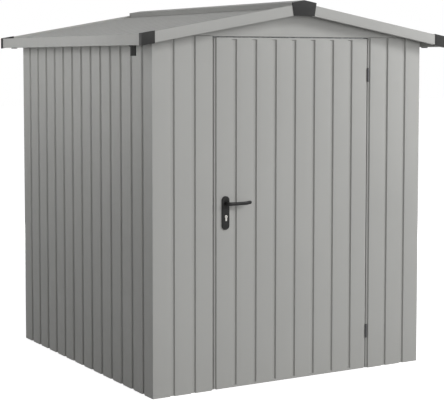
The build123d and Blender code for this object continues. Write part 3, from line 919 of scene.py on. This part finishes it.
@dataclass
class RoofCover:
    """The grooved roof sheets and the folded trims along their edges."""

    shop: Workshop
    sizes: ShedSizes
    ridge_opening: float = 0.015
    gutter_mouth: float = 0.025
    gutter_width: float = 0.045
    gutter_hem: float = 0.008
    gutter_flange: float = 0.026
    verge_depth: float = 0.025
    verge_lip: float = 0.020
    cap_wall: float = 0.003
    ridge_half: float = 0.082
    ridge_rise: float = 0.016
    ridge_flange: float = 0.012
    notch_gap: float = 0.0005

    def build(self) -> None:
        """Build the roof sheets, the verges, the gutters and the ridge cap."""
        for side in Side:
            self.roof_sheet(side)
            self.gutter(side)
            for end in End:
                self.verge(end, side)
        self.ridge_cap()

    def roof_sheet(self, side: Side) -> None:
        """Build one roof sheet, from the ridge into the gutter.

        Args:
            side: Which slope it covers.
        """
        sizes = self.sizes
        reach = sizes.roof_half_depth - self.verge_depth / 2
        line = [(-reach, 0.0), *sizes.grooves(sizes.groove_places(sizes.half_depth)), (reach, 0.0)]
        length = sizes.roof_half_width - self.gutter_mouth - self.ridge_opening
        run = SheetRun(
            origin=(side.value * self.ridge_opening, 0, sizes.sheet_top(self.ridge_opening)),
            across=(0, 1, 0),
            inwards=(-side.value * sizes.slope * sizes.lean, 0, -sizes.lean),
            run=(side.value * length, 0, -length * sizes.slope),
        )
        self.shop.fold(f"roof_sheet_{side.name.lower()}", run.sheet(sizes.bends(line), sizes.wall_sheet))

    def verge(self, end: End, side: Side) -> None:
        """Build one verge trim, from the eave up to the ridge.

        Args:
            end: Which gable it runs over.
            side: Which slope it climbs.
        """
        sizes = self.sizes
        outer, top = -sizes.roof_half_depth, sizes.eave_top
        line = [
            (outer + self.verge_depth, top - sizes.roof_sheet_drop),
            (outer + self.verge_depth, top),
            (outer, top),
            (outer, top - sizes.fascia),
            (outer + self.verge_lip, top - sizes.fascia),
        ]
        run = SheetRun(
            origin=(side.value * sizes.roof_half_width, 0, 0),
            across=(0, -end.value, 0),
            inwards=(0, 0, 1),
            run=(-side.value * sizes.roof_half_width, 0, sizes.ridge_top - sizes.eave_top),
        )
        name = f"verge_{end.name.lower()}_{side.name.lower()}"
        self.shop.fold(name, run.sheet(sizes.bends(line), sizes.trim_sheet))

    def gutter(self, side: Side) -> None:
        """Build one eave gutter with its end stops.

        Args:
            side: Which eave it hangs on.
        """
        sizes, edge = self.sizes, self.sizes.trim_sheet
        outer = sizes.roof_half_width
        inner = outer - self.gutter_width
        last = inner - self.gutter_flange
        top, bottom = sizes.eave_top, sizes.eave_top - sizes.fascia
        lift = edge / sizes.lean
        line = [
            (outer - self.gutter_hem, top),
            (outer, top),
            (outer, bottom),
            (inner, bottom),
            (inner, sizes.groove_under(inner) - lift),
            (last, sizes.groove_under(last) - lift),
        ]
        reach = sizes.roof_half_depth - self.verge_depth - self.cap_wall
        run = SheetRun((0, -reach, 0), (side.value, 0, 0), (0, 0, 1), (0, 2 * reach, 0))
        solid = run.sheet(sizes.bends(line), -edge)
        stop = [
            (outer - edge, bottom + edge),
            (inner + edge, bottom + edge),
            (inner + edge, sizes.groove_under(inner)),
            (outer - edge, sizes.groove_under(outer)),
        ]
        for end in End:
            faces = (end.value * reach, end.value * (reach - edge))
            add_loft(solid, [[Vector((side.value * x, y, z)) for x, z in stop] for y in faces])
        self.shop.fold(f"gutter_{side.name.lower()}", solid)

    def ridge_cap(self) -> None:
        """Build the ridge cap, notched at its ends over the verges."""
        sizes = self.sizes
        inner, outer = self.ridge_half, self.ridge_half + self.ridge_flange
        notch = sizes.verge_top(inner) + self.notch_gap
        half = [
            (outer, sizes.sheet_top(outer)),
            (inner, sizes.sheet_top(inner)),
            (inner, notch),
            (inner, sizes.verge_top(inner) + self.ridge_rise),
        ]
        line = [*half, (0.0, sizes.ridge_top + self.ridge_rise), *((-x, z) for x, z in reversed(half))]
        samples = sizes.bends(line)

        def keep(row: int, column: int) -> bool:
            """Leave the sides out over the verges."""
            return column == 1 or min(samples[row].y, samples[row + 1].y) > notch - TOUCH

        reach = sizes.roof_half_depth
        share = (self.verge_depth + self.notch_gap) / (2 * reach)
        run = SheetRun((0, -reach, 0), (1, 0, 0), (0, 0, 1), (0, 2 * reach, 0))
        self.shop.fold("ridge_cap", run.sheet(samples, -sizes.trim_sheet, (0.0, share, 1 - share, 1.0), keep))


@dataclass
class BlackMouldings:
    """The black moulded caps at the roof's corners and ridge ends, and the drain pieces."""

    shop: Workshop
    edge: float = 0.0009
    edge_steps: int = 3
    sharp_from: float = 50.0

    def build(self) -> None:
        """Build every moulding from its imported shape, with rounded edges."""
        for node in ("corner_caps", "ridge_end_caps", "drain_spouts", "drain_plugs"):
            solid = softened(node, self.edge, self.edge_steps)
            self.shop.add(node + "_moulded", solid, Body.SHED, Slot.PLASTIC, node, self.sharp_from)


@dataclass
class DoorLeaf:
    """The door's skin, pressed from one sheet: grooves with closed ends, stepped sides and turned edges."""

    shop: Workshop
    sizes: ShedSizes
    turn: float = 0.027
    top_margin: float = 0.010
    bottom_margin: float = 0.0105
    faceplate: Point = (0.8992, 1.0898)
    faceplate_half_depth: float = 0.0063

    def build(self) -> None:
        """Build the skin."""
        sizes, stations = self.sizes, self.stations()
        samples = sizes.bends(self.across())
        last_groove = sizes.groove_places(sizes.door_half)[-1] + sizes.groove_pitch / 2
        flat = sizes.door_half - sizes.groove_mouth / 2 + TOUCH
        lock_edge = -sizes.door_half + sizes.door_gap / 2 + TOUCH

        def point(sample: Vector, station: Vector) -> Vector:
            """A point of the skin."""
            depth = sample.y if abs(sample.x) > last_groove else min(sample.y, station.y)
            return Vector((sample.x, depth + station.z - sizes.half_depth, station.x))

        def keep(row: int, column: int) -> bool:
            """Leave out the edges' ends and the lock's opening.

            Args:
                row: The cell's row.
                column: The cell's column.

            Returns:
                Whether it is part of the sheet.
            """
            here, there, below, above = *samples[row:row + 2], *stations[column:column + 2]
            if max(below.z, above.z) > TOUCH:
                return max(abs(here.x), abs(there.x)) < flat
            middle, height = (here + there) / 2, (below.x + above.x) / 2
            beside_lock = middle.x < lock_edge and abs(middle.y - sizes.lock_depth) < BAND
            return not (beside_lock and self.faceplate[0] < height < self.faceplate[1])

        rows = [[point(sample, station) for station in stations] for sample in samples]
        solid = thick_sheet(rows, -sizes.wall_sheet, keep)
        self.shop.add("door_skin_pressed", solid, Body.DOOR, Slot.PAINT, "door_skin")

    def across(self) -> list[Point]:
        """The folds across the skin.

        Returns:
            Corners of its section, from its free edge to its hinge edge.
        """
        sizes = self.sizes
        edge = sizes.door_half - sizes.door_gap / 2
        half = [
            (edge, self.turn),
            (edge, sizes.groove_depth),
            (sizes.door_half - sizes.groove_floor / 2, sizes.groove_depth),
            (sizes.door_half - sizes.groove_mouth / 2, 0.0),
        ]
        lock_side = [(-x, inwards) for x, inwards in half]
        lock_side.insert(1, (-edge, sizes.lock_depth + self.faceplate_half_depth))
        lock_side.insert(2, (-edge, sizes.lock_depth - self.faceplate_half_depth))
        return lock_side + sizes.grooves(sizes.groove_places(sizes.door_half)) + half[::-1]

    def stations(self) -> list[Vector]:
        """Levels up the door.

        Returns:
            Each level's height, how deep the grooves may be there, and how far the skin is turned in.
        """
        sizes, deep = self.sizes, self.sizes.groove_depth
        low, high = sizes.door_ground_gap, sizes.panel_height - sizes.door_gap
        flare = (sizes.groove_mouth - sizes.groove_floor) / 2
        start, stop = low + self.bottom_margin, high - self.top_margin
        line = [(low, 0.0), (start, 0.0), (start + flare, deep), *((z, deep) for z in self.faceplate)]
        line += [(stop - flare, deep), (stop, 0.0), (high, 0.0)]
        pressed = [Vector((z, depth, 0.0)) for z, depth in sizes.bends(line)]
        bottom_bend = sizes.bends([(low, self.turn), (low, 0.0), (start, 0.0)])[:-1]
        top_bend = sizes.bends([(stop, 0.0), (high, 0.0), (high, self.turn)])[1:]
        bottom, top = ([Vector((z, 0.0, depth)) for z, depth in bend] for bend in (bottom_bend, top_bend))
        return bottom + pressed[1:-1] + top


@dataclass
class HandleSet:
    """The levers, their plates and the lock cylinder."""

    shop: Workshop
    sizes: ShedSizes
    door_depth: float = 0.027
    neck_radius: float = 0.010
    neck_start: float = 0.0006
    neck_shares: Sequence[float] = (0.0, 0.5, 1.0)
    reach: float = 0.046
    grip_half_depth: float = 0.007
    grip_steps: int = 4
    length: float = 0.142
    bend: float = 0.013
    bend_steps: int = 8
    tip_run: float = 0.026
    tip_rise: float = 0.0035
    tip_steps: int = 12
    nose_angles: Sequence[float] = (18, 36, 54, 70, 82, 88)
    ring_steps: int = 28
    squareness: float = 2.6
    waist_share: float = 0.96
    sharp_from: float = 60.0
    plate: float = 0.008
    plate_edge: float = 0.0016
    plate_edge_steps: int = 3
    cylinder_edge: float = 0.0006
    cylinder_edge_steps: int = 2
    cylinder_drop: float = 0.072
    cylinder_proud: float = 0.012
    plug_radius: float = 0.0064
    plug_rise: float = 0.0008
    plug_edge: float = 0.0003
    keyway_half_width: float = 0.0012
    keyway_half_length: float = 0.0042
    # height of the shallow keyways' floor; a black disc below it is painted shade standing in for a deep slot
    keyway_floor: float = 0.0002
    keyway_power: float = 0.4
    collar_gap: float = 0.0003
    collar_radius: float = 0.0132
    collar_rise: float = 0.0018
    collar_edge: float = 0.0007

    def build(self) -> None:
        """Build both sides of the handle."""
        for node in ("handle_plate_outer", "handle_plate_inner"):
            self.shop.soften(node, Body.DOOR, Slot.HANDLE, self.plate_edge, self.plate_edge_steps)
        self.lever(End.FRONT, "lever_outer")
        self.lever(End.REAR, "lever_inner")
        edge, steps = self.cylinder_edge, self.cylinder_edge_steps
        self.shop.soften("lock_cylinder", Body.DOOR, Slot.NICKEL, edge, steps)
        self.plugs()
        self.collars()

    def place(self, end: End, proud: float, drop: float = 0.0) -> Place:
        """A place over the door's outer or inner face, at the spindle's height or some way below."""
        face = -self.sizes.half_depth + (self.door_depth if end is End.REAR else 0.0)
        return self.sizes.handle_x, face + end.value * proud, self.sizes.handle_z - drop

    def plugs(self) -> None:
        """Build the cylinder's turning plugs on both faces, each with its keyway, floored by a black disc of
        painted shade.
        """
        plugs, shade_discs = bmesh.new(), bmesh.new()
        radius, rise, edge = self.plug_radius, self.plug_rise, self.plug_edge
        outside = [(radius, 0.0), (radius, rise - edge), (radius - edge, rise)]
        keyway = oval(self.keyway_half_width, self.keyway_half_length, self.ring_steps, self.keyway_power)
        for end in End:
            stand = facing(self.place(end, self.cylinder_proud, self.cylinder_drop), (0, end.value, 0))
            high, low, foot = (ring(stand, keyway, height) for height in (rise, self.keyway_floor, 0.0))
            add_loft(plugs, [*turned(stand, outside, self.ring_steps), high, low])
            # a black disc at the floor of each shallow keyway: painted shade for the dark of a deep slot
            add_loft(shade_discs, [foot, low])
        self.shop.add("cylinder_plugs", plugs, Body.DOOR, Slot.NICKEL)
        # painted shade: the black discs stand in for the dark depth of the keyways
        self.shop.add("keyway_painted_shade", shade_discs, Body.DOOR, Slot.HANDLE)

    def collars(self) -> None:
        """Build the collars round the levers' necks, on both plates."""
        solid = bmesh.new()
        inner, outer = self.neck_radius + self.collar_gap, self.collar_radius
        rise, edge = self.collar_rise, self.collar_edge
        section = [(inner, 0.0), (outer, 0.0), (outer, rise - edge), (outer - edge, rise), (inner, rise)]
        for end in End:
            stand = facing(self.place(end, self.plate), (0, end.value, 0))
            add_loft(solid, turned(stand, section, self.ring_steps), closed=True)
        self.shop.add("neck_collars", solid, Body.DOOR, Slot.HANDLE)

    def lever(self, end: End, node: str) -> None:
        """Build one lever: a round neck that bends into a flattened grip with a raised tip.

        Args:
            end: Which face of the door it stands on.
            node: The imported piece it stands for.
        """
        start, solid = Vector(self.place(end, self.neck_start)), bmesh.new()
        loops = [[start + Vector((x, end.value * y, z)) for x, y, z in loop] for loop in self.lever_rings()]
        add_loft(solid, loops)
        self.shop.add(node + "_rounded", solid, Body.HANDLE, Slot.HANDLE, node, self.sharp_from)

    def lever_rings(self) -> list[list[Place]]:
        """Rings round the lever.

        Returns:
            Points of each ring, from the neck to the tip.
        """
        neck_end, tip = self.reach - self.bend, self.length - self.neck_radius
        found = [self.lever_ring((0.0, share * neck_end, 0.0), 0.0, 0.0, 1.0) for share in self.neck_shares]
        for step in range(1, self.bend_steps + 1):
            share = step / self.bend_steps
            side, away = 1 - math.cos(math.pi / 2 * share), math.sin(math.pi / 2 * share)
            centre = (self.bend * side, neck_end + self.bend * away, 0.0)
            found.append(self.lever_ring(centre, math.pi / 2 * share, share, 1.0))
        rise_start = tip - self.tip_run
        grip = []
        for step in range(1, self.grip_steps + 1):
            grip.append((self.bend + (rise_start - self.bend) * step / self.grip_steps, 0.0))
        for share in (step / self.tip_steps for step in range(1, self.tip_steps + 1)):
            grip.append((rise_start + self.tip_run * share, self.tip_rise * share * share * (3 - 2 * share)))
        stops = [(along, rise, self.waist(along)) for along, rise in grip]
        for turn in map(math.radians, self.nose_angles):
            stops.append((tip + self.neck_radius * math.sin(turn), self.tip_rise, math.cos(turn)))
        for along, rise, size in stops:
            found.append(self.lever_ring((along, self.reach, rise), math.pi / 2, 1.0, size))
        return found

    def waist(self, along: float) -> float:
        """The share of the full height at a place along the grip, which is slimmer half-way."""
        share = (along - self.bend) / (self.length - self.neck_radius - self.bend)
        return 1 - (1 - self.waist_share) * math.sin(math.pi * share) ** 2

    def lever_ring(self, centre: Place, turn: float, grip: float, size: float) -> list[Place]:
        """One ring of points round the lever.

        Args:
            centre: Its middle, from the spindle: along the door, away from it and up.
            turn: How far the lever has turned along the door, in radians.
            grip: From 0 in the round neck to 1 in the flattened grip.
            size: Share of the full section.

        Returns:
            Its points.
        """
        half_depth = (self.neck_radius + (self.grip_half_depth - self.neck_radius) * grip) * size
        power = 2 / (2 + (self.squareness - 2) * grip)
        outline = oval(half_depth, self.neck_radius * size, self.ring_steps, power)
        x, y, z = centre
        return [(x + side * math.cos(turn), y - side * math.sin(turn), z + rise) for side, rise in outline]


@dataclass
class Hinges:
    """The hinges' leaves and the domed heads of their pins."""

    shop: Workshop
    edge: float = 0.0005
    edge_steps: int = 2
    head: Sequence[Point] = (
        (0.0052, 0.0), (0.0052, 0.0008), (0.0044, 0.0018), (0.0024, 0.0025), (0.0, 0.0027)
    )
    head_steps: int = 24

    def build(self) -> None:
        """Build the leaves with rounded edges, and the heads."""
        for node, body in (("hinge_frame_leaves", Body.SHED), ("hinge_door_leaves", Body.DOOR)):
            self.shop.soften(node, body, Slot.HINGE, self.edge, self.edge_steps)
        x, y, _ = frame["joints"][0]["pos_m"]
        solid = bmesh.new()
        for low, high in self.spans():
            upside_down = Matrix.Translation((x, y, low)) @ Matrix.Rotation(math.pi, 4, "X")
            for stand in (Matrix.Translation((x, y, high)), upside_down):
                add_loft(solid, turned(stand, self.head, self.head_steps))
        self.shop.add("hinge_pin_heads", solid, Body.SHED, Slot.HINGE)

    def spans(self) -> list[Point]:
        """How high the hinges stand.

        Returns:
            Lowest and highest level of each.
        """
        heights = [vert.co.z for vert in frame["nodes"]["hinge_frame_leaves"].data.vertices]
        middle = (min(heights) + max(heights)) / 2
        groups = [z for z in heights if z < middle], [z for z in heights if z > middle]
        return [(min(group), max(group)) for group in groups]


@dataclass(frozen=True)
class ScrewHead:
    """The low domed head of a screw, with a cross pressed into it."""

    radius: float = 0.0046
    rise: float = 0.0021
    recess: float = 0.0013
    arm_share: float = 0.56
    arm_from: float = 0.7
    web_share: float = 0.2
    steps: int = 24
    dome_shares: Sequence[Point] = ((1.0, 0.0), (1.0, 0.3), (0.93, 0.62), (0.78, 0.88), (0.62, 1.0))

    def add(self, solid: Solid, stand: Matrix) -> None:
        """Add a head to a solid.

        Args:
            solid: The solid to add to.
            stand: Where the head stands, along its Z.
        """
        rings = turned(stand, [(self.radius * a, self.rise * b) for a, b in self.dome_shares], self.steps)
        rings += [ring(stand, self.cross(), height) for height in (self.rise, self.rise - self.recess)]
        add_loft(solid, rings)

    def cross(self) -> list[Point]:
        """The outline of the cross.

        Returns:
            Points round it.
        """
        points = []
        for angle in (math.tau * step / self.steps for step in range(self.steps)):
            share = self.arm_share if abs(math.cos(2 * angle)) > self.arm_from else self.web_share
            points.append((self.radius * share * math.cos(angle), self.radius * share * math.sin(angle)))
        return points


@dataclass
class Screws:
    """The screws of the handle, the lock's faceplate and the frame's corners."""

    shop: Workshop
    sizes: ShedSizes
    head: ScrewHead = ScrewHead()
    small_head: ScrewHead = ScrewHead(radius=0.0034, rise=0.0009, recess=0.0006)
    plate_inset: float = 0.013
    faceplate_inset: float = 0.008
    rail_inset: float = 0.028
    base_share: float = 0.5
    eave_share: float = 0.4

    def build(self) -> None:
        """Build every screw head."""
        solid = bmesh.new()
        low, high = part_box("handle_plate_inner")
        for z in (low.z + self.plate_inset, high.z - self.plate_inset):
            self.head.add(solid, facing((self.sizes.handle_x, high.y, z), (0, 1, 0)))
        low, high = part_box("lock_case")
        depth = -self.sizes.half_depth + self.sizes.lock_depth
        for z in (low.z + self.faceplate_inset, high.z - self.faceplate_inset):
            self.small_head.add(solid, facing((low.x, depth, z), (-1, 0, 0)))
        self.shop.add("door_screws", solid, Body.DOOR, Slot.LOCK)
        solid = bmesh.new()
        for side in Side:
            for rail, share in (("base", self.base_share), ("eave", self.eave_share)):
                self.rail_screws(solid, f"{rail}_rail_{side.name.lower()}", side, share)
        self.shop.add("frame_screws", solid, Body.SHED, Slot.LOCK)

    def rail_screws(self, solid: Solid, node: str, side: Side, height_share: float) -> None:
        """Add the screws at both ends of a side rail, on its upright leg.

        Args:
            solid: The solid to add to.
            node: The rail.
            side: Which side it stands on.
            height_share: Their height, as a share of the rail's own.
        """
        low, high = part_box(node)
        x = (low.x if side is Side.LEFT else high.x) - side.value * self.sizes.frame_sheet
        z = low.z + (high.z - low.z) * height_share
        for y in (low.y + self.rail_inset, high.y - self.rail_inset):
            self.head.add(solid, facing((x, y, z), (-side.value, 0, 0)))


@dataclass
class InnerFrame:
    """The galvanised frame inside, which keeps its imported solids, and the bare parts of the lock."""

    shop: Workshop
    steel: Sequence[str] = (
        "corner_posts", "base_rail_front", "base_rail_rear", "base_rail_left", "base_rail_right",
        "eave_rail_left", "eave_rail_right", "door_jamb_left", "door_jamb_right", "door_head", "ridge_beam",
        "lock_stile", "hinge_stile", "door_rails",
    )
    lock: Sequence[str] = ("lock_case", "spindle")

    def build(self) -> None:
        """Dress every piece of the frame."""
        for slot, nodes in ((Slot.FRAME, self.steel), (Slot.LOCK, self.lock)):
            for node in nodes:
                self.shop.dress(node, slot)


# The studio


@dataclass(frozen=True)
class SoftBox:
    """One soft white studio light."""

    name: str
    place: Place
    aim: Place
    width: float
    height: float
    power: float

    def build(self) -> None:
        """Hang the light."""
        lamp = bpy.data.lights.new(self.name, "AREA")
        lamp.shape = "RECTANGLE"
        lamp.size, lamp.size_y = self.width, self.height
        lamp.energy = self.power
        light = bpy.data.objects.new(self.name, lamp)
        light.location = self.place
        towards = Vector(self.aim) - Vector(self.place)
        light.rotation_euler = towards.to_track_quat("-Z", "Y").to_euler()
        light.visible_camera = False
        bpy.context.scene.collection.objects.link(light)
        LOG.info("%s: light of %g W", self.name, self.power)


@dataclass
class Studio:
    """A white studio: the floor, the soft lights and the camera at the photo's angle."""

    floor_half: float = 40.0
    floor_glow: float = 0.80
    floor_white: float = 0.80
    floor_bounce: float = 0.42
    near_floor: float = 2.5
    far_floor: float = 7.0
    far_glow: float = 0.98
    surround: float = 0.075
    camera_place: Place = (-4.0854, -6.9797, 1.8213)
    camera_down: float = 3.869
    camera_yaw: float = -30.1841
    lens: float = 105.3
    shift: Point = (0.0272, -0.1192)
    lights: Sequence[SoftBox] = (
        SoftBox("key_light", (7.0, -13.0, 8.2), (0.0, -0.9, 1.2), 5.0, 5.0, 1055.0),
        SoftBox("roof_light", (0.0, 0.0, 8.0), (0.0, 0.0, 2.0), 3.0, 3.0, 18.0),
        SoftBox("front_light", (-2.3, -9.2, 2.4), (-0.4, -0.9, 1.0), 1.2, 1.8, 170.0),
        SoftBox("gable_light", (2.2, -2.4, 1.9), (0.9, -0.9, 1.7), 0.8, 0.6, 12.5),
        SoftBox("eave_light", (-2.0, 0.2, 1.95), (-0.95, 0.2, 1.75), 3.2, 0.3, 6.7),
        SoftBox("eave_rear_light", (-2.2, 0.6, 2.3), (-1.0, 0.5, 1.8), 2.4, 0.3, 5.8),
        SoftBox("left_light", (-5.0, 2.4, 1.0), (-0.9, 0.6, 1.2), 2.0, 1.0, 7.0),
        SoftBox("rear_light", (1.5, 6.5, 1.1), (0.0, 0.9, 1.0), 4.0, 1.4, 150.0),
        SoftBox("right_light", (6.5, 1.5, 1.1), (0.9, 0.0, 1.0), 4.0, 1.4, 120.0),
    )

    def build(self) -> None:
        """Build the studio."""
        self.floor()
        self.world()
        for light in self.lights:
            light.build()
        self.camera()
        bpy.context.scene.view_settings.view_transform = "Standard"

    def show(self, board: NodeBoard, soft: Socket, seen: Socket, output: str) -> None:
        """Show one shader to the camera, in a gloss and through glass, and another one to soft light.

        Args:
            board: The nodes to add it to.
            soft: The shader for soft light.
            seen: The shader that is seen.
            output: The kind of the output node.
        """
        rays = board.add("LightPath", {}).outputs
        direct = board.combine("MAXIMUM", rays["Is Camera Ray"], rays["Is Glossy Ray"])
        direct = board.combine("MAXIMUM", direct, rays["Is Transmission Ray"])
        both = board.add("MixShader", {"Fac": direct, 1: soft, 2: seen}).outputs["Shader"]
        board.add(output, {"Surface": both})

    def floor(self) -> None:
        """Lay the floor, white as it is seen and darker for the light it sends up."""
        mesh = bpy.data.meshes.new("studio_floor")
        half = self.floor_half
        corners = [(-half, -half, 0), (half, -half, 0), (half, half, 0), (-half, half, 0)]
        mesh.from_pydata(corners, [], [(0, 1, 2, 3)])
        floor = bpy.data.objects.new("studio_floor", mesh)
        bpy.context.scene.collection.objects.link(floor)
        material = bpy.data.materials.new("studio_floor_white")
        material.use_nodes = True
        material.node_tree.nodes.clear()
        board = NodeBoard(material.node_tree)
        dull, matt = (
            board.add("BsdfDiffuse", {"Color": (white, white, white, 1.0)}).outputs["BSDF"]
            for white in (self.floor_bounce, self.floor_white)
        )
        glow = board.add("Emission", {"Strength": self.glow_by_distance(board)}).outputs["Emission"]
        lit = board.add("AddShader", {0: matt, 1: glow}).outputs["Shader"]
        self.show(board, dull, lit, "OutputMaterial")
        mesh.materials.append(material)
        LOG.info("studio_floor: stage")

    def glow_by_distance(self, board: NodeBoard) -> Socket:
        """The floor's glow, which makes up for the lights' fall away from the shed.

        Args:
            board: The nodes to add it to.

        Returns:
            The socket of the glow's strength.
        """
        distance = board.add("VectorMath", {0: board.add("TexCoord", {}).outputs["Object"]})
        distance.operation = "LENGTH"
        ends = {"From Min": self.near_floor, "From Max": self.far_floor}
        glow = {"To Min": self.floor_glow, "To Max": self.far_glow}
        return board.add("MapRange", {"Value": distance.outputs["Value"], **ends, **glow}).outputs["Result"]

    def world(self) -> None:
        """Fill the room with soft light that shows as plain white."""
        world = bpy.data.worlds.new("studio_room")
        bpy.context.scene.world = world
        world.use_nodes = True
        world.node_tree.nodes.clear()
        board = NodeBoard(world.node_tree)
        white = (1.0, 1.0, 1.0, 1.0)
        soft, seen = (
            board.add("Background", {"Color": white, "Strength": strength}).outputs["Background"]
            for strength in (self.surround, 1.0)
        )
        self.show(board, soft, seen, "OutputWorld")

    def camera(self) -> None:
        """Set up the camera at the photo's angle."""
        lens = bpy.data.cameras.new("photo_camera")
        lens.lens = self.lens
        lens.shift_x, lens.shift_y = self.shift
        camera = bpy.data.objects.new("photo_camera", lens)
        camera.location = self.camera_place
        camera.rotation_euler = (math.radians(90 - self.camera_down), 0.0, math.radians(self.camera_yaw))
        bpy.context.scene.collection.objects.link(camera)
        bpy.context.scene.camera = camera


def main() -> None:
    """Build the shed's sub-assemblies in order, then the studio."""
    logging.basicConfig(level=logging.INFO, format="%(name)s: %(message)s")
    shop = Workshop(make_finishes())
    sizes = ShedSizes.from_frame()
    WallSheets(shop, sizes).build()
    RoofCover(shop, sizes).build()
    BlackMouldings(shop).build()
    DoorLeaf(shop, sizes).build()
    Hinges(shop).build()
    HandleSet(shop, sizes).build()
    Screws(shop, sizes).build()
    InnerFrame(shop).build()
    Studio().build()


if __name__ == "__main__":
    main()
